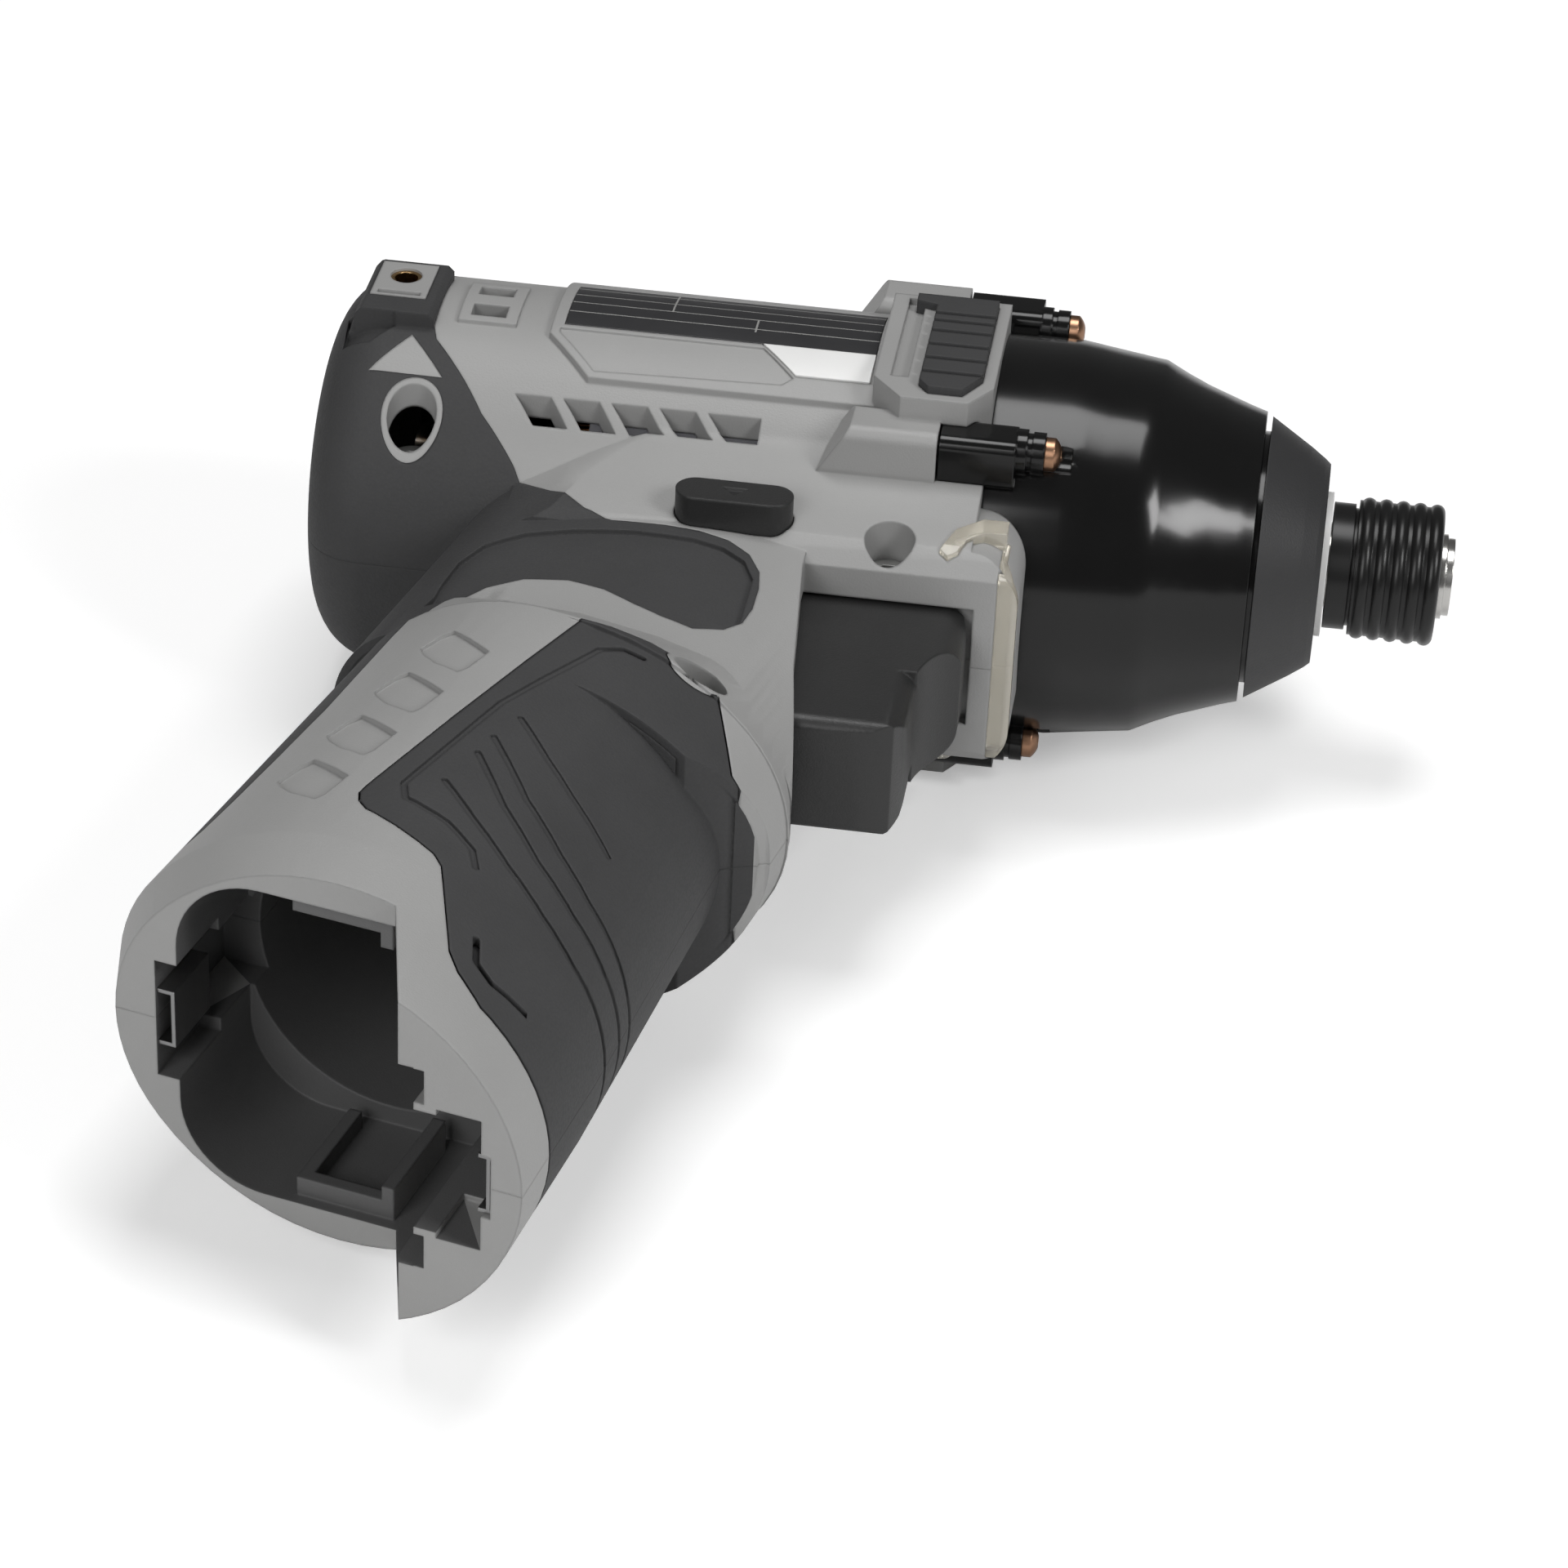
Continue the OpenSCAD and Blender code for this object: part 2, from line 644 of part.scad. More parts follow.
module hook_plates() color(grey) for (m = [0, 1]) mirror([0, 0, m]) difference() {
  translate([hook_x - 3.9, -3.2, hook_z - 1]) cube([7.8, 9.9, 1.15]);
  translate([hook_x, hook_y, 20]) cylinder(r = 2.2, h = 20);
  translate([hook_x - 3, -2.7, hook_z - 0.5]) cube([6, 0.9, 2]);
}

module hook_inserts() color(brass) for (m = [0, 1]) mirror([0, 0, m]) difference() {
  translate([hook_x, hook_y, hook_z - 7]) cylinder(r = 2.18, h = 6.8);
  translate([hook_x, hook_y, hook_z - 8]) cylinder(r = 1.65, h = 10);
}

module label_plate() color([0.14, 0.14, 0.15]) intersection() {
  difference() {
    disc(-124.5, -81.4, 28.42);
    disc(-125, -81, 27.92);
  }
  translate([-124.5, -4.7, 0]) cube([43.1, 12.8, 40]);
}

module label_patch() color([0.93, 0.93, 0.92]) intersection() {
  difference() {
    disc(-97, -81.4, 28.46);
    disc(-98, -81, 27.92);
  }
  linear_extrude(height = 40) polygon([[-97, -4.72], [-81.4, -4.72], [-81.6, -10.1],
    [-91.8, -10.1]]);
}

// light guide below the hammer case
module light_lens() color([0.95, 0.9, 0.75]) lens_shape(0);

module led_board() color([0.1, 0.35, 0.15]) translate([-60.6, -35.2, -9.4]) cube([1.4, 5, 18.8]);

module housing_screws() color([0.25, 0.25, 0.27]) for (p = screw_spots) {
  translate([p[0], p[1], p[2] + 0.02]) difference() {
    cylinder(r = 3, h = 2);
    translate([0, 0, 0.8]) cylinder(r = 1.6, h = 2, $fn = 6);
  }
  translate([p[0], p[1], -11]) cylinder(r = 1.23, h = p[2] + 11.1);
}

module hammer_case() color(black) difference() {
  union() {
    turned() polygon([[0, -70.6], [24.72, -70.6], [24.72, shell_front_x + 0.02],
      [case_rear_r, shell_front_x + 0.02], [case_rear_r, -54], [26.5, -46],
      [case_cone_r, -42.2], [24.4, -39], [23.1, -36], [21, -30], [20.3, -27.7], [17.6, -27.7],
      [17.6, -26.9], [16.4, -26.9], [16.4, -24.6], [12.8, -20.4], [0, -20.4]]);
    for (p = lug_spots) {
      lug_bar(p, -70.6, -60.4, lug_h);
      translate([-60.6, p[0], p[1]]) rotate([0, 90, 0]) cylinder(r = 3.1, h = 1.6);
      translate([-59.1, p[0], p[1]]) rotate([0, 90, 0]) cylinder(r = 2.6, h = 0.9);
      translate([-58.3, p[0], p[1]]) rotate([0, 90, 0]) cylinder(r = screw_head_r, h = 1.7);
    }
  }
  turned() polygon([[0, -80], [22.2, -80], [22.2, -44], [21, -38.6], [18.4, -34.2], [0, -34.2]]);
  disc(-40, -10, 9);
  for (p = lug_spots) {
    translate([-80, p[0], p[1]]) rotate([0, 90, 0]) cylinder(r = 1.7, h = 30);
    // room for the head of the screw beside the wall of the case
    translate([-56.6, p[0], p[1]]) rotate([0, 90, 0]) cylinder(r = 2.5, h = 3.6);
  }
}

module case_screws() color(brass) for (p = lug_spots) translate([0, p[0], p[1]]) {
  turned() difference() {
    union() {
      translate([0, -70.5]) square([1.68, 14]);
      intersection() {
        translate([0, -57.4]) circle(r = 3.1, $fn = 48);
        translate([0, -56.58]) square([2.3, 3]);
      }
    }
    translate([0, -55.4]) square([0.9, 2]);
  }
}

module nose_cap() color([0.13, 0.13, 0.135]) turned() polygon([[10.2, -20.4], [12.82, -20.4],
  [16.42, -24.6], [16.42, -26.88], [cap_rear_r, -26.88], [16, -21], [cap_front_r + 0.7, -19],
  [cap_front_r, -18.2], [10.2, -18.2]]);

module nose_washer() color([0.9, 0.9, 0.9]) difference() {
  disc(-20.3, -17.3, 10.1);
  disc(-21, -17, anvil_r + 0.35);
}

module front_bush() color(brass) difference() {
  disc(-34.1, -20.45, 8.98);
  disc(-35, -20, anvil_r + fit);
}

// square-drive style anvil with hexagon socket and two striking ears
module anvil() color(steel) difference() {
  union() {
    disc(-34.2, -1, anvil_r);
    disc(-1, 0, anvil_r - 0.5);
    disc(-41, -34.15, 8.6);
    translate([-41, -16.6, -4.4]) cube([6.4, 33.2, 8.8]);
  }
  disc(-bit_depth, 1, 0);
  translate([-bit_depth, 0, 0]) rotate([0, 90, 0]) rotate([0, 0, 30])
    cylinder(r = bit_af / sqrt(3), h = bit_depth + 1, $fn = 6);
  disc(-42, -36.5, 3.55);
  for (a = [0, 180]) rotate([a, 0, 0]) translate([-11.2, 0, 2.6]) cylinder(r = 1.6, h = 6);
  difference() {
    disc(-4.4, -3.5, 7);
    disc(-5, -3, anvil_r - 0.6);
  }
}

module bit_balls() color([0.75, 0.75, 0.77]) for (a = [0, 180]) rotate([a, 0, 0])
  translate([-11.2, 0, 4.42]) sphere(r = 1.5);

module collet_sleeve() color(black) turned() difference() {
  union() {
    translate([anvil_r + 0.1, -17.1]) square([8.2 - anvil_r - 0.1, 15.3]);
    translate([anvil_r + 0.6, -17.1]) square([8.8 - anvil_r - 0.6, 3]);
    translate([7, -17.1]) square([1.7, 3]);
    translate([7.5, -13.6]) square([1.9, 11.4]);
    for (i = [0:4]) translate([sleeve_r - 1.1, -12.3 + i * 2.35]) circle(r = 1.1, $fn = 32);
  }
  translate([0, -10]) square([7.1, 6.8]);
  translate([0, -4.4]) square([7.1, 3]);
}

module sleeve_spring() color(steel) for (i = [0:3]) translate([-9.2 + i * 1.35, 0, 0])
  rotate([0, 90, 0]) rotate_extrude() translate([6.55, 0]) circle(r = 0.3, $fn = 16);

module sleeve_ring() color(steel) difference() {
  disc(-4.35, -3.55, 6.9);
  disc(-5, -3, anvil_r - 0.55);
}

module hammer() color([0.4, 0.4, 0.42]) difference() {
  union() {
    disc(-56, -41.3, 21.4);
    intersection() {
      difference() {
        disc(-41.4, -35.8, 18);
        disc(-42, -35, 9.4);
      }
      translate([-60, -5, -30]) cube([40, 10, 60]);
    }
  }
  disc(-60, -40, 7.6);
  difference() {
    disc(-60, -47, 16.4);
    disc(-61, -46, 10.8);
  }
  // straight grooves for the cam balls
  for (a = [90, 270]) rotate([a, 0, 0]) translate([-57, -2.35, 0]) cube([17, 4.7, 9.95]);
}

module hammer_spring() color(steel) translate([-63.6, 0, 0]) for (i = [0:hammer_coils])
  translate([i * 15.2 / hammer_coils, 0, 0]) rotate([0, 90, 0]) rotate_extrude()
  translate([13.6, 0]) circle(r = hammer_wire, $fn = 24);

module cam_balls() color([0.75, 0.75, 0.77]) for (a = [90, 270]) rotate([a, 0, 0])
  translate([-50, 0, 7.6]) sphere(r = 2.2);

// cam shaft and planet carrier in one piece
module camshaft() color([0.5, 0.5, 0.52]) difference() {
  union() {
    disc(-42, -37, 3.5);
    disc(-67, -41.3, 7.5);
    disc(-69.6, -65, 18.6);
    disc(-79.6, -76.6, 18.6);
    disc(-84, -79, 9);
    for (a = [60, 180, 300]) rotate([a, 0, 0]) translate([-77, 8.2, -2.6]) cube([8, 7.5, 5.2]);
  }
  disc(-90, -69.7, 5.4);
  for (a = [0, 120, 240]) rotate([a, 0, 0]) translate([-90, planet_c, 0]) rotate([0, 90, 0])
    cylinder(r = 1.5, h = 30);
  for (a = [90, 270]) rotate([a, 0, 0]) translate([-50, 0, 7.6]) sphere(r = 2.3);
}

module planet_pins() color(steel) for (a = [0, 120, 240]) rotate([a, 0, 0])
  translate([-79.4, planet_c, 0]) rotate([0, 90, 0]) cylinder(r = 1.48, h = 14.2);

// straight tooth outline made of a root circle and trapezoid teeth
module gear_2d(n, pr, turn) {
  root = pr - 0.85;
  rotate(turn) union() {
    circle(r = root);
    for (i = [0:n - 1]) rotate(i * 360 / n) polygon([[root - 0.2, -0.62], [pr, -0.46],
      [pr + 0.55, -0.22], [pr + 0.55, 0.22], [pr, 0.46], [root - 0.2, 0.62]]);
  }
}

module planet(a) {
  color(steel) rotate([a, 0, 0]) translate([-76.2, planet_c, 0]) rotate([90, 0, 90])
    linear_extrude(height = 6.2) difference() {
      gear_2d(planet_n, planet_pr, 0);
      circle(r = 1.52);
    }
}
module planet_1() planet(0);
module planet_2() planet(120);
module planet_3() planet(240);

module ring_gear() color([0.35, 0.35, 0.37]) translate([-76.4, 0, 0]) rotate([90, 0, 90])
  linear_extrude(height = 5.7) difference() {
    circle(r = 22.8);
    difference() {
      circle(r = ring_pr + 0.85);
      for (i = [0:ring_n - 1]) rotate((i + 0.5) * 360 / ring_n) polygon([[ring_pr + 1, -0.66],
        [ring_pr, -0.42], [ring_pr - 0.5, -0.2], [ring_pr - 0.5, 0.2], [ring_pr, 0.42],
        [ring_pr + 1, 0.66]]);
    }
  }

module gear_plate() color([0.3, 0.3, 0.31]) difference() {
  disc(-86.6, -80.2, 24.6);
  disc(-84.2, -80, 14.05);
  disc(-90, -80, 8);
}

module carrier_bearing() color(steel) difference() {
  disc(-84.1, -80.3, 14);
  disc(-85, -80, 9.02);
}

module rotor_shaft() color(steel) {
  disc(-146, -77, 2.5);
  translate([-77.4, 0, 0]) rotate([90, 0, 90]) linear_extrude(height = 7)
    gear_2d(sun_n, sun_pr, 180 / sun_n);
}

module rotor_core() color([0.45, 0.45, 0.47]) difference() {
  disc(-120, -94, 13.6);
  disc(-121, -93, 2.5);
  for (i = [0:7]) rotate([i * 45, 0, 0]) translate([-121, 10, -3]) cube([28, 1.6, 6]);
}

module fan() color([0.1, 0.1, 0.1]) difference() {
  union() {
    disc(-139, -131, 5);
    disc(-133, -131.4, 21);
    for (i = [0:10]) rotate([i * 360 / 11, 0, 0]) translate([-139, 6, -0.7]) cube([6.4, 14.4, 1.4]);
    difference() {
      disc(-139, -131.4, 7);
      disc(-140, -130, 4);
    }
  }
  disc(-140, -130, 2.5);
}

module rotor_bearings() color([0.65, 0.65, 0.66]) {
  for (x = [-146, -92]) difference() {
    disc(x, x + 4, 6.5);
    disc(x - 1, x + 5, 2.5 + fit);
  }
}

module stator_core() color([0.38, 0.38, 0.4]) difference() {
  disc(-119, -95, barrel_r - wall - 0.02);
  difference() {
    disc(-120, -94, 21);
    for (i = [0:5]) rotate([i * 60, 0, 0]) translate([-120, 0, -2.6]) cube([26, 22, 5.2]);
  }
  disc(-120, -94, 14);
}

module stator_coils() color([0.62, 0.33, 0.15]) for (i = [0:5]) rotate([i * 60, 0, 0])
  difference() {
    translate([-121.6, 15.2, -4.6]) cube([29.2, 5, 9.2]);
    translate([-119.05, 14, -2.65]) cube([24.1, 8, 5.3]);
    disc(-130, -80, 14.6);
  }

module sensor_board() color([0.1, 0.35, 0.15]) difference() {
  disc(-91.8, -90.4, 23);
  disc(-93, -90, 7);
}

// trigger with its concave front, rounded edges and stem
module trigger() color(black) difference() {
  intersection() {
    translate([0, 0, -trigger_w]) linear_extrude(height = 2 * trigger_w) difference() {
      polygon([[-64.6, -36.4], [-63.9, -40], [-63.9, -46], [-65.4, -50.6], [-68.9, -55],
        [-68.6, -60], [-69.2, -65], [-70.4, -67.2], [-73, -68.3], [-86.2, -68.7], [-87.8, -62],
        [-87.8, -37], [-86, -36.4]]);
      translate([-56.4, -56.2]) circle(r = 12.7);
    }
    rotate([90, 0, 90]) translate([0, 0, -110]) linear_extrude(height = 60) translate([-48.7, 0])
      soft_rect(40, 2 * trigger_w, 2.2);
    union() {
      rotate([90, 0, 0]) linear_extrude(height = 54) translate([-86.9, 0])
        soft_rect(46, 2 * trigger_w, 3.6);
      translate([0, -53.9, 0]) rotate([90, 0, 0]) linear_extrude(height = 20)
        translate([-89, 0]) soft_rect(40.2, 2 * trigger_w, 3.2);
    }
  }
  translate([-96, -52, 0]) rotate([0, 90, 0]) cylinder(r = 2.5, h = 10);
}

module switch_plunger() color([0.85, 0.85, 0.83]) translate([-104, -52, 0]) rotate([0, 90, 0])
  cylinder(r = 2.48, h = 17.6);

module switch_body() color([0.12, 0.12, 0.13]) difference() {
  translate([-119, -66, -8.5]) cube([23.6, 26, 17]);
  translate([-112, -52, 0]) rotate([0, 90, 0]) cylinder(r = 2.52, h = 30);
}

module selector_shape(z0, z1, g) {
  translate([-96.6, -32.4, z0]) linear_extrude(height = z1 - z0) union() {
    for (m = [-1, 1]) translate([m * (selector_l - selector_t) / 2, 0])
      circle(r = selector_t / 2 + g);
    square([selector_l - selector_t, selector_t + 2 * g], center = true);
  }
}

module selector() color(black) difference() {
  selector_shape(-neck_w - 0.2, neck_w + selector_travel, 0);
  translate([-96.6, -32.4, neck_w + selector_travel - 0.35]) linear_extrude(height = 1)
    polygon([[-1.8, 0.9], [1.8, 0.9], [0, -1]]);
}

module controller_board() color([0.1, 0.35, 0.15]) lean()
  translate([handle_t - 16.6, -97, -9]) cube([1.6, 26, 18]);

module terminal_block() color([0.1, 0.1, 0.1]) lean()
  translate([handle_t - 16.8, -socket_top_s, -9.8]) cube([31.2, 5.5, 19.6]);

module terminals() color(brass) lean() for (x = [-11, -3, 5, 13])
  translate([handle_t + x, -socket_top_s - 11, -3]) cube([0.8, 11, 6]);

// phase leads from the motor down to the controller
module motor_wires() color([0.7, 0.15, 0.1]) for (z = [-5, 0, 5]) {
  translate([-120.2, -23, z]) rotate([90, 0, 0]) cylinder(r = 0.9, h = 16);
}

// sheet-metal plates behind the latch slots of the socket
module latch_clips() color(steel) lean() {
  translate([-113.6, -rim_rear_s + 0.4, -4]) cube([0.5, 9, 8]);
  for (z = [-4, 3.5]) translate([-115.38, -rim_rear_s + 0.4, z]) cube([2, 9, 0.5]);
  translate([-66.6, -rim_front_s + 0.6, -3.6]) cube([0.5, 9, 7.2]);
  for (z = [-4.1, 3.6]) translate([-67.6, -rim_front_s + 0.6, z]) cube([1.78, 9, 0.5]);
}

housing_right();
housing_left();
boot_right();
boot_left();
grip_right();
grip_left();
bumper_right();
bumper_left();
hook_plates();
hook_inserts();
label_plate();
label_patch();
light_lens();
led_board();
housing_screws();
hammer_case();
case_screws();
nose_cap();
nose_washer();
front_bush();
anvil();
bit_balls();
collet_sleeve();
sleeve_spring();
sleeve_ring();
hammer();
hammer_spring();
cam_balls();
camshaft();
planet_pins();
planet_1();
planet_2();
planet_3();
ring_gear();
gear_plate();
carrier_bearing();
rotor_shaft();
rotor_core();
fan();
rotor_bearings();
stator_core();
stator_coils();
sensor_board();
trigger();
switch_plunger();
switch_body();
selector();
controller_board();
terminal_block();
terminals();
motor_wires();
latch_clips();
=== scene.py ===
"""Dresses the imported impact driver: its finishes, smoothed shells and a plain studio."""

import json
import math

import bmesh
import bpy
from bpy.props import FloatProperty, FloatVectorProperty, PointerProperty
from mathutils import Matrix, Vector
from mathutils.bvhtree import BVHTree

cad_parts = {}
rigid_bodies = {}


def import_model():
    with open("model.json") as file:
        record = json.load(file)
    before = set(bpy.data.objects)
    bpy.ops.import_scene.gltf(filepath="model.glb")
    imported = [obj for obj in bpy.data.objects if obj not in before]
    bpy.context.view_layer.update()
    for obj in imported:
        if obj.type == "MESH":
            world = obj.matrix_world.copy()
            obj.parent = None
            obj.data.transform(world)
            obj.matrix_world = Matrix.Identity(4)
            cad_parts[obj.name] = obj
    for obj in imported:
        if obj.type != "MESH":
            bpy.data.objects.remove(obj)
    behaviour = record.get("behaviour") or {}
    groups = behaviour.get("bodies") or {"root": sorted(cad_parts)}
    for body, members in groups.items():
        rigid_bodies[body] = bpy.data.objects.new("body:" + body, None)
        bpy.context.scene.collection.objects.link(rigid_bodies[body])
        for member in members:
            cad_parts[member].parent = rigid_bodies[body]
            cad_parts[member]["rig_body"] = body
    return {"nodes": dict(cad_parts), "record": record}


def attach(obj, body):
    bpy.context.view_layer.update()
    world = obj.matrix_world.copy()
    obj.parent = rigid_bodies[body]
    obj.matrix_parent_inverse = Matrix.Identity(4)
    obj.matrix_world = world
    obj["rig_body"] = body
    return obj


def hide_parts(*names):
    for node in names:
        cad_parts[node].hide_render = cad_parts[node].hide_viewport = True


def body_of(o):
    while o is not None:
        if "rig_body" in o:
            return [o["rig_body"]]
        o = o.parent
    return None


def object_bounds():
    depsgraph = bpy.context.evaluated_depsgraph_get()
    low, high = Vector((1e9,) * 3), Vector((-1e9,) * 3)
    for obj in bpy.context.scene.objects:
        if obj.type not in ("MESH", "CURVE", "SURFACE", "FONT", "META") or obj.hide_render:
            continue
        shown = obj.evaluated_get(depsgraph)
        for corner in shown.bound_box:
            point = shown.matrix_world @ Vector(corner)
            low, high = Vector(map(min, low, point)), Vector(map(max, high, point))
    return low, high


bl_info = {
    "name": "Impact driver dressing",
    "version": (1, 0, 0),
    "blender": (4, 5, 0),
    "location": "View3D > Sidebar > Impact driver",
    "description": "Finishes, smoothed shells and studio for a compact impact driver",
    "category": "Object",
}

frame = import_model()
CAD_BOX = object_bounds()
NODES = frame["nodes"]
MM = 0.001


def colour(name, value, about):
    return FloatVectorProperty(name=name, description=about, default=value, size=3,
                               subtype="COLOR", min=0.0, max=1.0)


def length(name, value, about):
    return FloatProperty(name=name, description=about, default=value, min=0.0,
                         subtype="DISTANCE", unit="LENGTH", precision=5)


class DriverColours(bpy.types.PropertyGroup):
    grey: colour("Grey plastic", (0.345, 0.344, 0.34), "Moulded housing halves")
    # painted shade: a darker grey for the inside of the battery socket, standing in for the shade that
    # falls there; the real plastic is the housing's grey
    socket: colour("Socket grey", (0.12, 0.12, 0.12), "Darker inside of the battery socket")
    rubber: colour("Rubber", (0.045, 0.045, 0.046), "Soft overmould and grip panels")
    gloss: colour("Gloss black", (0.005, 0.005, 0.005), "Hammer case")
    sleeve: colour("Sleeve black", (0.008, 0.008, 0.008), "Coated collet sleeve")
    cap: colour("Cap black", (0.027, 0.027, 0.028), "Moulded nose cap")
    black: colour("Satin black", (0.022, 0.022, 0.022), "Trigger, selector and inner mouldings")
    white: colour("White plastic", (0.82, 0.82, 0.81), "Nose washer")
    steel: colour("Steel", (0.6, 0.59, 0.57), "Anvil and shafts")
    dark_steel: colour("Dark steel", (0.14, 0.14, 0.15), "Phosphated and laminated steel")
    brass: colour("Brass", (0.5, 0.33, 0.16), "Inserts and terminals")
    plated: colour("Plated screws", (0.42, 0.24, 0.15), "Copper-plated case screws")
    clip: colour("Clip steel", (0.3, 0.3, 0.3), "Battery latch clips")
    zinc: colour("Zinc plate", (0.4, 0.4, 0.39), "Screws of the housing")
    copper: colour("Copper", (0.62, 0.28, 0.12), "Motor windings")
    board: colour("Circuit board", (0.02, 0.12, 0.045), "Solder mask")
    lens: colour("Lens", (0.98, 0.94, 0.84), "Light guide")
    label: colour("Label film", (0.028, 0.028, 0.03), "Dark label")
    label_line: colour("Label rules", (0.3, 0.3, 0.29), "Thin rules on the label")
    patch: colour("Label patch", (0.84, 0.84, 0.83), "Pale corner of the label")
    lead: colour("Lead", (0.4, 0.02, 0.015), "Insulated motor leads")
    floor: colour("Floor", (0.93, 0.93, 0.93), "Studio floor")


class DriverSizes(bpy.types.PropertyGroup):
    edge: length("Edge softness", 0.0005, "Radius of the moulded edges")
    fine_edge: length("Fine edge", 0.00025, "Radius of the edges on metal pieces")
    grain: length("Plastic grain", 0.00028, "Size of the spark texture on the plastic")
    rule_pitch: length("Label rule pitch", 0.0027, "Distance between the rules on the label")
    floor_half: length("Floor half size", 4.0, "Half width of the studio floor")


class Value:
    """A value socket that takes part in Python arithmetic."""

    def __init__(self, look, socket):
        self.look = look
        self.socket = socket

    def _with(self, operation, *others):
        return self.look.node("ShaderNodeMath", {"operation": operation}, *others)

    def __add__(self, other):
        return self._with("ADD", self, other)

    __radd__ = __add__

    def __sub__(self, other):
        return self._with("SUBTRACT", self, other)

    def __rsub__(self, other):
        return self._with("SUBTRACT", other, self)

    def __mul__(self, other):
        return self._with("MULTIPLY", self, other)

    __rmul__ = __mul__

    def __truediv__(self, other):
        return self._with("DIVIDE", self, other)

    def __rtruediv__(self, other):
        return self._with("DIVIDE", other, self)

    def __abs__(self):
        return self._with("ABSOLUTE", self)

    def below(self, limit):
        return self._with("LESS_THAN", self, limit)

    def above(self, limit):
        return self._with("GREATER_THAN", self, limit)

    def swing(self, width):
        """A pattern from 0 to 1 made to swing about zero."""
        return (self - 0.5) * width


EDGE_SAMPLES = 6


class Look:
    """A material whose node tree is written as Python expressions."""

    def __init__(self, name):
        self.material = bpy.data.materials.new(name)
        self.material.use_nodes = True
        self.tree = self.material.node_tree
        self.tree.nodes.clear()
        self.output = self.tree.nodes.new("ShaderNodeOutputMaterial")
        self.shader = self.tree.nodes.new("ShaderNodeBsdfPrincipled")
        self.tree.links.new(self.shader.outputs[0], self.output.inputs["Surface"])
        self.place = self.tree.nodes.new("ShaderNodeTexCoord").outputs["Object"]

    def put(self, socket, value):
        if isinstance(value, Value):
            value = value.socket
        if isinstance(value, bpy.types.NodeSocket):
            self.tree.links.new(value, socket)
        else:
            socket.default_value = value

    def node(self, kind, settings=None, *values, out=0, **named):
        node = self.tree.nodes.new(kind)
        for key, setting in (settings or {}).items():
            setattr(node, key, setting)
        for place, value in enumerate(values):
            self.put(node.inputs[place], value)
        for key, value in named.items():
            self.put(node.inputs[key.replace("_", " ")], value)
        return Value(self, node.outputs[out])

    def set(self, **named):
        for key, value in named.items():
            self.put(self.shader.inputs[key.replace("_", " ")], value)
        return self

    def noise(self, size, detail=2.0, rough=0.5):
        return self.node("ShaderNodeTexNoise", {"noise_dimensions": "3D"}, Vector=self.place,
                         Scale=1.0 / size, Detail=detail, Roughness=rough)

    def blend(self, amount, low, high):
        """Mixes two colours, each a plain colour or a link."""
        mixer = self.tree.nodes.new("ShaderNodeMix")
        mixer.data_type = "RGBA"
        self.put(mixer.inputs[0], amount)
        for place, tone in ((6, low), (7, high)):
            plain = not isinstance(tone, (Value, bpy.types.NodeSocket))
            self.put(mixer.inputs[place], (*tone, 1.0) if plain else tone)
        return mixer.outputs[2]

    def surface(self, height, strength, distance, edge):
        """Bump over a softened edge."""
        soft = self.node("ShaderNodeBevel", {"samples": EDGE_SAMPLES}, Radius=edge)
        return self.node("ShaderNodeBump", None, Strength=strength, Distance=distance,
                         Height=height, Normal=soft)

    def across(self):
        """X, Y and Z of the place on the piece."""
        split = self.tree.nodes.new("ShaderNodeSeparateXYZ")
        self.tree.links.new(self.place, split.inputs[0])
        return [Value(self, output) for output in split.outputs]


def tint(value, factor):
    return tuple(min(1.0, part * factor) for part in value)


FLOW_SIZE = 0.016
GRAIN_DEPTH = 0.3  # share of the grain's own size


def moulded(name, base, grain, edge, rough, spread=0.05):
    """Injection-moulded plastic with spark grain and faint flow marks."""
    look = Look(name)
    flow = look.noise(FLOW_SIZE, detail=3.0)
    speck = look.noise(grain, detail=1.0)
    look.set(Base_Color=look.blend(flow, tint(base, 1 - spread), tint(base, 1 + spread)),
             Roughness=rough + flow.swing(0.1) + speck.swing(0.12),
             Normal=look.surface(speck, strength=0.35, distance=grain * GRAIN_DEPTH, edge=edge))
    return look


STIPPLE_SIZE = 0.00045
STIPPLE_DEPTH = 0.00008
DUST_SIZE = 0.011
PORE_SIZE = 0.0002


def soft_rubber(name, base, edge):
    """Fine stippled rubber, a little dusty in random patches."""
    look = Look(name)
    cells = look.node("ShaderNodeTexVoronoi", {"feature": "F1"}, Vector=look.place,
                      Scale=1 / STIPPLE_SIZE, Randomness=1.0)
    dust = look.noise(DUST_SIZE, detail=4.0, rough=0.6)
    pores = look.noise(PORE_SIZE, detail=1.0)
    look.set(Base_Color=look.blend(dust, tint(base, 0.86), tint(base, 1.18)),
             Roughness=0.62 + dust.swing(0.14) + cells * 0.1,
             Normal=look.surface(cells + pores * 0.5, strength=0.3, distance=STIPPLE_DEPTH, edge=edge),
             Specular_IOR_Level=0.42)
    return look


RIPPLE_SIZE = 0.009
RIPPLE_DEPTH = 0.0001
DULL_SPOT_SIZE = 0.0006
DULL_SPOT_LEVEL = 0.72


def gloss_paint(name, base, edge, rough=0.17, coat=0.08):
    """Deep gloss coat with a faint ripple and a few duller spots."""
    look = Look(name)
    ripple = look.noise(RIPPLE_SIZE)
    spots = look.noise(DULL_SPOT_SIZE, detail=1.0).above(DULL_SPOT_LEVEL)
    look.set(Base_Color=look.blend(ripple, tint(base, 0.8), tint(base, 1.3)),
             Roughness=rough + ripple.swing(0.05) + spots * 0.04,
             Normal=look.surface(ripple, strength=0.08, distance=RIPPLE_DEPTH, edge=edge),
             Coat_Weight=coat, Coat_Roughness=0.08, Specular_IOR_Level=0.36)
    return look


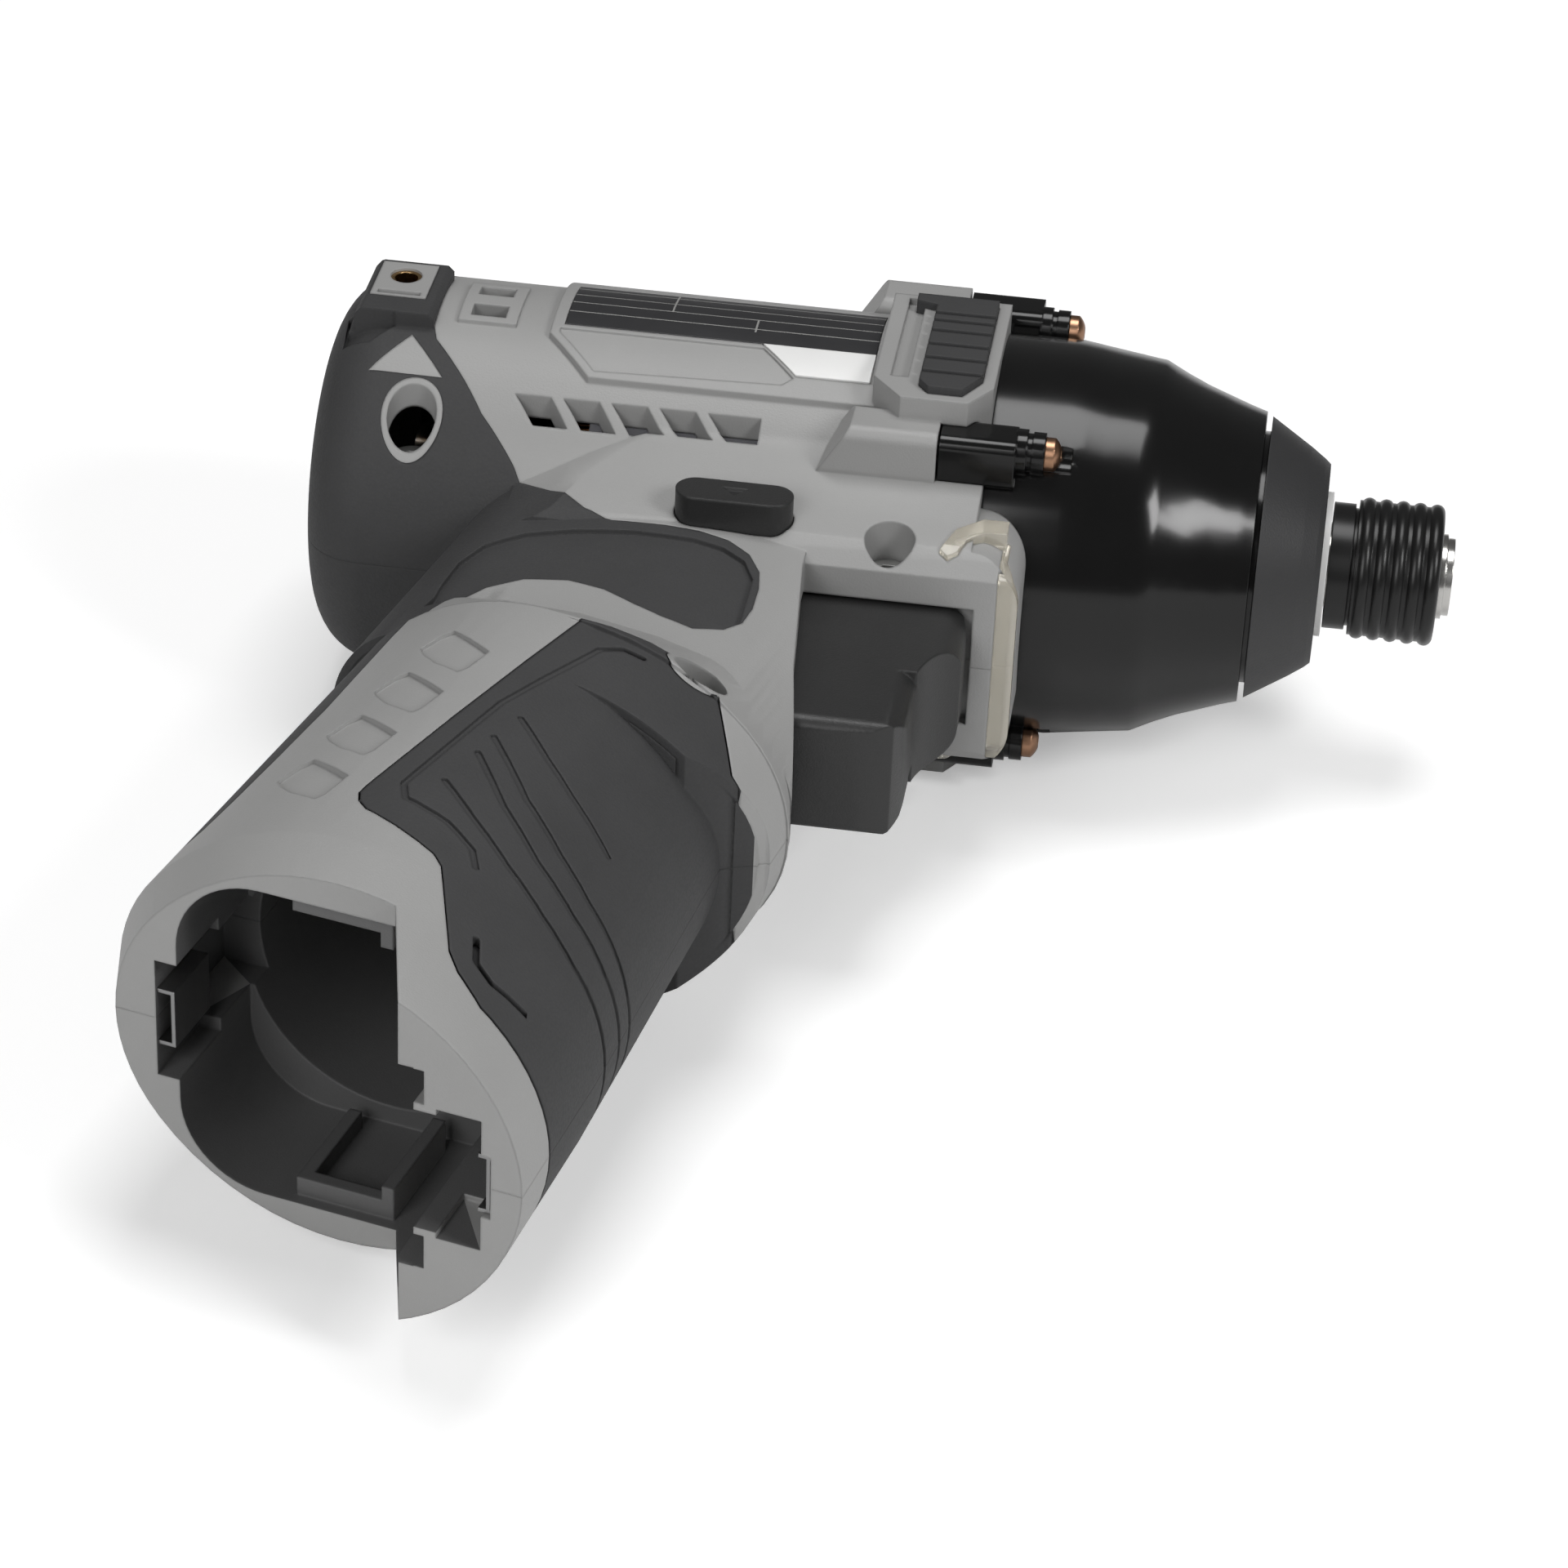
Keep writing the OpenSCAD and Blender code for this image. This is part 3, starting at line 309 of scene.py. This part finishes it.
TURNING_PITCH = 0.00022
TURNING_DEPTH = 0.00003
SMEAR_SIZE = 0.004


def turned_metal(name, base, edge, rough):
    """Metal with fine turning marks around the spindle axis."""
    look = Look(name)
    x = look.across()[0]
    rings = look.node("ShaderNodeTexNoise", {"noise_dimensions": "1D"}, W=x / TURNING_PITCH,
                      Scale=1.0, Detail=2.0)
    smear = look.noise(SMEAR_SIZE, detail=3.0)
    look.set(Base_Color=look.blend(smear, tint(base, 0.88), tint(base, 1.08)), Metallic=1.0,
             Roughness=rough + smear.swing(0.12) + rings.swing(0.08),
             Normal=look.surface(rings, strength=0.2, distance=TURNING_DEPTH, edge=edge))
    return look


FILM_HAZE_SIZE = 0.006
PATCH_HAZE_SIZE = 0.007
FILM_DEPTH = 0.00002
# the label's rules run along X and its two columns along Y, all in the driver's own frame
RULES_START = 0.0042
RULE_SHARE = 0.075
LOWEST_RULE = -0.0022
MIDDLE_RULE = 0.0012
UPPER_COLUMN = 0.1105
LOWER_COLUMN = 0.0985
COLUMN_HALF = 0.00013


def printed_film(name, base, line, pitch, edge):
    """Dark label film with thin rules and left bare of words."""
    look = Look(name)
    x, y = look.across()[:2]
    step = look.node("ShaderNodeMath", {"operation": "FRACT"}, (y + RULES_START) / pitch)
    rules = step.below(RULE_SHARE) * y.above(LOWEST_RULE)
    upper = abs(x + UPPER_COLUMN).below(COLUMN_HALF) * y.above(MIDDLE_RULE)
    lower = abs(x + LOWER_COLUMN).below(COLUMN_HALF) * y.below(MIDDLE_RULE) * y.above(LOWEST_RULE)
    ink = look.node("ShaderNodeMath", {"operation": "MAXIMUM"}, rules, upper)
    ink = look.node("ShaderNodeMath", {"operation": "MAXIMUM"}, ink, lower)
    haze = look.noise(FILM_HAZE_SIZE)
    dark = look.blend(haze, tint(base, 0.85), tint(base, 1.15))
    look.set(Base_Color=look.blend(ink, dark, line), Roughness=0.36 + haze.swing(0.1),
             Normal=look.surface(haze, strength=0.1, distance=FILM_DEPTH, edge=edge))
    return look


def plain_film(name, base, edge):
    """Pale label film without print."""
    look = Look(name)
    haze = look.noise(PATCH_HAZE_SIZE)
    look.set(Base_Color=look.blend(haze, tint(base, 0.97), tint(base, 1.02)),
             Roughness=0.34 + haze.swing(0.1),
             Normal=look.surface(haze, strength=0.1, distance=FILM_DEPTH, edge=edge))
    return look


SWIRL_SIZE = 0.006
SWIRL_DEPTH = 0.0006


def clear_guide(name, base, edge):
    """Clear moulded light guide that picks up a warm tint."""
    look = Look(name)
    swirl = look.noise(SWIRL_SIZE, detail=3.0, rough=0.6)
    look.set(Base_Color=look.blend(swirl, tint(base, 0.9), base),
             Roughness=0.05 + swirl.swing(0.04), Transmission_Weight=0.78, IOR=1.49,
             Normal=look.surface(swirl, strength=0.35, distance=SWIRL_DEPTH, edge=edge))
    return look


STRAND_SCALE = 520.0
STRAND_DEPTH = 0.0002


def wound_copper(name, base, edge):
    """Varnished copper wire laid in close strands."""
    look = Look(name)
    strands = look.node("ShaderNodeTexWave", {"wave_type": "BANDS", "bands_direction": "Y"},
                        Vector=look.place, Scale=STRAND_SCALE, Distortion=0.6, Detail=1.0)
    look.set(Base_Color=look.blend(strands, tint(base, 0.5), base), Metallic=1.0,
             Roughness=0.3 + strands * 0.12,
             Normal=look.surface(strands, strength=0.6, distance=STRAND_DEPTH, edge=edge))
    return look


FINISHES = {}


def finish_of(slot):
    if slot not in FINISHES:
        raise RuntimeError("the finishes are made before the pieces that use them")
    return FINISHES[slot]


def wear(piece, slot):
    piece.data.materials.clear()
    piece.data.materials.append(finish_of(slot))


class DRIVER_OT_finishes(bpy.types.Operator):
    """Makes every finish and puts it on the carried-over pieces"""
    bl_idname = "driver.finishes"
    bl_label = "Make finishes"

    def execute(self, context):
        tone = context.scene.driver_colours
        size = context.scene.driver_sizes
        edge, fine = size.edge, size.fine_edge
        made = {
            "grey_plastic": moulded("grey plastic", tone.grey, size.grain, edge, rough=0.46),
            "rubber": soft_rubber("soft rubber", tone.rubber, edge),
            # painted shade: the darker grey that stands in for the shade inside the battery socket
            "socket_plastic": moulded("socket painted shade", tone.socket, size.grain, edge, rough=0.5),
            "gloss_black": gloss_paint("gloss black", tone.gloss, fine),
            "cap_plastic": moulded("cap plastic", tone.cap, size.grain, fine, rough=0.5, spread=0.12),
            "black_plastic": moulded("satin black", tone.black, size.grain, edge, rough=0.42, spread=0.12),
            "white_plastic": moulded("white plastic", tone.white, size.grain, fine, rough=0.4, spread=0.02),
            "steel": turned_metal("turned steel", tone.steel, fine, rough=0.24),
            "dark_steel": turned_metal("dark steel", tone.dark_steel, fine, rough=0.4),
            "brass": turned_metal("plated brass", tone.brass, fine, rough=0.22),
            "copper": wound_copper("wound copper", tone.copper, fine),
            "board": moulded("circuit board", tone.board, size.grain, fine, rough=0.35, spread=0.1),
            "clear_lens": clear_guide("light guide", tone.lens, fine),
            "label_dark": printed_film("label film", tone.label, tone.label_line,
                                       size.rule_pitch, fine),
            "label_white": plain_film("label patch", tone.patch, fine),
            "wire_red": moulded("lead insulation", tone.lead, size.grain, fine, rough=0.45, spread=0.08),
            # these four stand for their own node, in place of its slot's finish
            "collet_sleeve": gloss_paint("sleeve coat", tone.sleeve, fine, rough=0.3, coat=0.0),
            "case_screws": turned_metal("plated screws", tone.plated, fine, rough=0.32),
            "latch_clips": turned_metal("clip steel", tone.clip, fine, rough=0.4),
            "housing_screws": turned_metal("zinc plate", tone.zinc, fine, rough=0.5),
        }
        FINISHES.update({slot: look.material for slot, look in made.items()})
        for part in frame["record"]["subparts"]:
            node = part["node"]
            wear(NODES[node], node if node in made else part["material_slot"])
        return {"FINISHED"}


SMOOTHED = ["hammer_case", "housing_right", "housing_left", "boot_right", "boot_left",
            "grip_right", "grip_left", "bumper_right", "bumper_left", "trigger"]
CREASE_ANGLE = math.radians(27.0)
WELD = 0.002 * MM
# the rubber pieces that cover each half of the housing
COVERS = {"housing_right": ["grip_right", "boot_right"], "housing_left": ["grip_left", "boot_left"]}
BOND_START = 0.05 * MM
BOND_REACH = 0.4 * MM
# places of the two further finishes in a housing half's list: the rubber, and the painted shade inside the
# battery socket
RUBBER_PLACE = 1
SOCKET_SHADE_PLACE = 2


def bond_rubber(mesh, covers):
    """Puts rubber on the floor of each recess, where the overmould bonds to the hard shell."""
    trees = []
    for node in covers:
        cover = bmesh.new()
        cover.from_mesh(NODES[node].data)
        trees.append(BVHTree.FromBMesh(cover))
        cover.free()
    for face in mesh.faces:
        middle = face.calc_center_median()
        spots = [middle] + [(middle + corner.co) / 2 for corner in face.verts]
        for spot in spots:
            start = spot - face.normal * BOND_START
            if any(tree.ray_cast(start, face.normal, BOND_REACH)[0] for tree in trees):
                face.material_index = RUBBER_PLACE
                break


# the battery socket, measured down the leaning handle and out from the socket's axis
HANDLE_LEAN = Matrix.Rotation(math.radians(13.0), 3, "Z")
SOCKET_AXIS = Vector((-93.6 * MM, 0.0, 0.0))
SOCKET_TOP = 102.5 * MM
SOCKET_LEDGE = 140.0 * MM
SOCKET_RIM = 165.7 * MM
SOCKET_WALL = 21.5 * MM
SOCKET_HALF_WIDTH = 22.2 * MM
SOCKET_POCKETS = 26.0 * MM
FACES_MOUTH = 0.5
FACES_AXIS = 0.3


def in_socket(face):
    """True for the walls, floor and ribs inside the battery socket, and not for its rim."""
    place = HANDLE_LEAN @ face.calc_center_median()
    normal = HANDLE_LEAN @ face.normal
    depth = -place.y
    if depth < SOCKET_TOP:
        return False
    out = place - SOCKET_AXIS
    out.y = 0.0
    in_bore = out.length < SOCKET_WALL
    in_pockets = out.length < SOCKET_POCKETS
    if -normal.y > FACES_MOUTH:
        on_ledge = depth > SOCKET_LEDGE and abs(out.z) < SOCKET_HALF_WIDTH and in_pockets
        return depth < SOCKET_RIM and (on_ledge or in_bore)
    inward = -out.normalized().dot(normal)
    return (in_bore and inward > -FACES_AXIS) or (in_pockets and inward > FACES_AXIS)


def paint_socket_shade(mesh):
    """Paints shade on the inside of the battery socket with a darker grey, where the real plastic is the
    housing's own grey.
    """
    for face in mesh.faces:
        if in_socket(face):
            face.material_index = SOCKET_SHADE_PLACE


def smooth_copy(node):
    """A merged copy whose shading flows over the small facets and stops at the real edges."""
    source = NODES[node]
    mesh = bmesh.new()
    mesh.from_mesh(source.data)
    bmesh.ops.remove_doubles(mesh, verts=mesh.verts, dist=WELD)
    for edge in mesh.edges:
        edge.smooth = len(edge.link_faces) == 2 and edge.calc_face_angle(math.pi) < CREASE_ANGLE
    for face in mesh.faces:
        face.smooth = True
    if node in COVERS:
        bond_rubber(mesh, COVERS[node])
        # paints shade inside the battery socket with the darker grey
        paint_socket_shade(mesh)
    data = bpy.data.meshes.new(node + "_surface")
    mesh.to_mesh(data)
    mesh.free()
    data.materials.append(source.data.materials[0])
    if node in COVERS:
        data.materials.append(finish_of("rubber"))
        # the darker grey painted as shade inside the battery socket
        data.materials.append(finish_of("socket_plastic"))
    piece = bpy.data.objects.new(node + "_surface", data)
    bpy.context.scene.collection.objects.link(piece)
    weighted = piece.modifiers.new("surface flow", "WEIGHTED_NORMAL")
    weighted.keep_sharp = True
    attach(piece, body_of(source)[0])
    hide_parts(node)
    return piece


class DRIVER_OT_castings(bpy.types.Operator):
    """Gives the moulded shells and the hammer case one flowing surface"""
    bl_idname = "driver.castings"
    bl_label = "Smooth the castings"

    def execute(self, context):
        for node in SMOOTHED:
            smooth_copy(node)
        return {"FINISHED"}


class DRIVER_OT_studio(bpy.types.Operator):
    """Sets the floor, the soft lamps, the world and the camera"""
    bl_idname = "driver.studio"
    bl_label = "Set the studio"

    def execute(self, context):
        scene = context.scene
        lay_floor(scene)
        for name, place, aim, width, height, power in LAMPS:
            hang_lamp(name, place, aim, width, height, power)
        light_world(scene)
        stand_camera(scene)
        scene.view_settings.view_transform = "Standard"
        return {"FINISHED"}


FLOOR_CENTRE = (-0.08, -0.06)
FLOOR_GAP = 0.00002
FLOOR_GRAIN = 0.3
# the camera sees the floor lifted towards white, more so away from the driver
NEAR_REACH = 0.3
FAR_REACH = 1.5
NEAR_LIFT = 0.36
FAR_LIFT = 0.86


def lay_floor(scene):
    """A flat pale sheet under the driver, shown almost white to the camera."""
    half = scene.driver_sizes.floor_half
    lowest = CAD_BOX[0][2]
    mesh = bmesh.new()
    bmesh.ops.create_grid(mesh, x_segments=2, y_segments=2, size=half,
                          matrix=Matrix.Translation((*FLOOR_CENTRE, lowest - FLOOR_GAP)))
    data = bpy.data.meshes.new("studio_floor")
    mesh.to_mesh(data)
    mesh.free()
    floor = bpy.data.objects.new("studio_floor", data)
    scene.collection.objects.link(floor)
    look = Look("studio floor")
    tone = scene.driver_colours.floor
    grain = look.noise(FLOOR_GRAIN)
    seen = look.node("ShaderNodeLightPath")
    away = look.node("ShaderNodeVectorMath", {"operation": "LENGTH"}, look.place, out=1)
    lift = look.node("ShaderNodeMapRange", None, away, NEAR_REACH, FAR_REACH, NEAR_LIFT, FAR_LIFT)
    look.set(Base_Color=look.blend(grain, tint(tone, 0.99), tone), Roughness=0.9,
             Specular_IOR_Level=0.0, Emission_Strength=1.0,
             Emission_Color=look.blend(seen * lift, (0, 0, 0), (1, 1, 1)))
    data.materials.append(look.material)


LAMPS = [
    # name, place, aim, width, height, power
    ("key_box", (-0.05, 0.12, 1.05), (-0.08, -0.05, 0.0), 0.5, 0.5, 4.8),
    ("side_box", (0.6, -0.42, 0.6), (-0.06, -0.04, 0.0), 0.24, 0.34, 3.4),
    ("fill_box", (-0.45, -0.95, 0.62), (-0.1, -0.06, 0.0), 0.6, 0.6, 4.6),
]
WORLD_LEVEL = 0.12


def aimed(place, aim):
    """Stands a lamp at a place and turns it to its aim."""
    place, aim = Vector(place), Vector(aim)
    turn = (aim - place).to_track_quat("-Z", "Y").to_matrix().to_4x4()
    return Matrix.Translation(place) @ turn


def hang_lamp(name, place, aim, width, height, power):
    lamp = bpy.data.lights.new(name, "AREA")
    lamp.shape = "RECTANGLE"
    lamp.size = width
    lamp.size_y = height
    lamp.energy = power
    holder = bpy.data.objects.new(name, lamp)
    bpy.context.scene.collection.objects.link(holder)
    holder.matrix_world = aimed(place, aim)


def light_world(scene):
    """White where the camera sees the world, and a low even light on the driver."""
    world = bpy.data.worlds.new("studio world")
    world.use_nodes = True
    tree = world.node_tree
    tree.nodes.clear()
    path = tree.nodes.new("ShaderNodeLightPath")
    seen = tree.nodes.new("ShaderNodeMath")
    seen.operation = "MAXIMUM"
    tree.links.new(path.outputs["Is Camera Ray"], seen.inputs[0])
    tree.links.new(path.outputs["Is Transmission Ray"], seen.inputs[1])
    soft = tree.nodes.new("ShaderNodeBackground")
    soft.inputs["Strength"].default_value = WORLD_LEVEL
    bright = tree.nodes.new("ShaderNodeBackground")
    bright.inputs["Strength"].default_value = 1.0
    for background in (soft, bright):
        background.inputs["Color"].default_value = (1, 1, 1, 1)
    mixer = tree.nodes.new("ShaderNodeMixShader")
    tree.links.new(seen.outputs[0], mixer.inputs[0])
    tree.links.new(soft.outputs[0], mixer.inputs[1])
    tree.links.new(bright.outputs[0], mixer.inputs[2])
    output = tree.nodes.new("ShaderNodeOutputWorld")
    tree.links.new(mixer.outputs[0], output.inputs["Surface"])
    scene.world = world


CAMERA_PLACE = (-0.02351, -0.60272, 0.34659)
CAMERA_RIGHT = (0.98989, 0.13531, 0.04253)
CAMERA_UP = (-0.10819, 0.52642, 0.84331)
CAMERA_BACK = (0.09172, -0.83939, 0.53574)
CAMERA_SENSOR = 36.0
CAMERA_LENS = 113.94
CAMERA_SHIFT = (-0.0120, -0.0287)
CAMERA_CLIP = (0.01, 50.0)


def stand_camera(scene):
    """The camera at the photograph's angle."""
    lens = bpy.data.cameras.new("photo_camera")
    lens.sensor_width = CAMERA_SENSOR
    lens.lens = CAMERA_LENS
    lens.shift_x, lens.shift_y = CAMERA_SHIFT
    lens.clip_start, lens.clip_end = CAMERA_CLIP
    holder = bpy.data.objects.new("photo_camera", lens)
    scene.collection.objects.link(holder)
    axes = Matrix((CAMERA_RIGHT, CAMERA_UP, CAMERA_BACK)).transposed().to_4x4()
    holder.matrix_world = Matrix.Translation(CAMERA_PLACE) @ axes
    scene.camera = holder


class DRIVER_PT_panel(bpy.types.Panel):
    """Lists the steps and the sizes and colours they use"""
    bl_idname = "DRIVER_PT_panel"
    bl_label = "Impact driver"
    bl_space_type = "VIEW_3D"
    bl_region_type = "UI"
    bl_category = "Impact driver"

    def draw(self, context):
        for step in STEPS:
            self.layout.operator("driver." + step)
        for group in (context.scene.driver_colours, context.scene.driver_sizes):
            box = self.layout.box()
            for name in group.__annotations__:
                box.prop(group, name)


STEPS = ["finishes", "castings", "studio"]
CLASSES = [DriverColours, DriverSizes, DRIVER_OT_finishes, DRIVER_OT_castings, DRIVER_OT_studio,
           DRIVER_PT_panel]


def register():
    for item in CLASSES:
        bpy.utils.register_class(item)
    bpy.types.Scene.driver_colours = PointerProperty(type=DriverColours)
    bpy.types.Scene.driver_sizes = PointerProperty(type=DriverSizes)


def unregister():
    del bpy.types.Scene.driver_sizes
    del bpy.types.Scene.driver_colours
    for item in reversed(CLASSES):
        bpy.utils.unregister_class(item)


def main():
    register()
    for step in STEPS:
        getattr(bpy.ops.driver, step)()


if __name__ == "__main__":
    main()
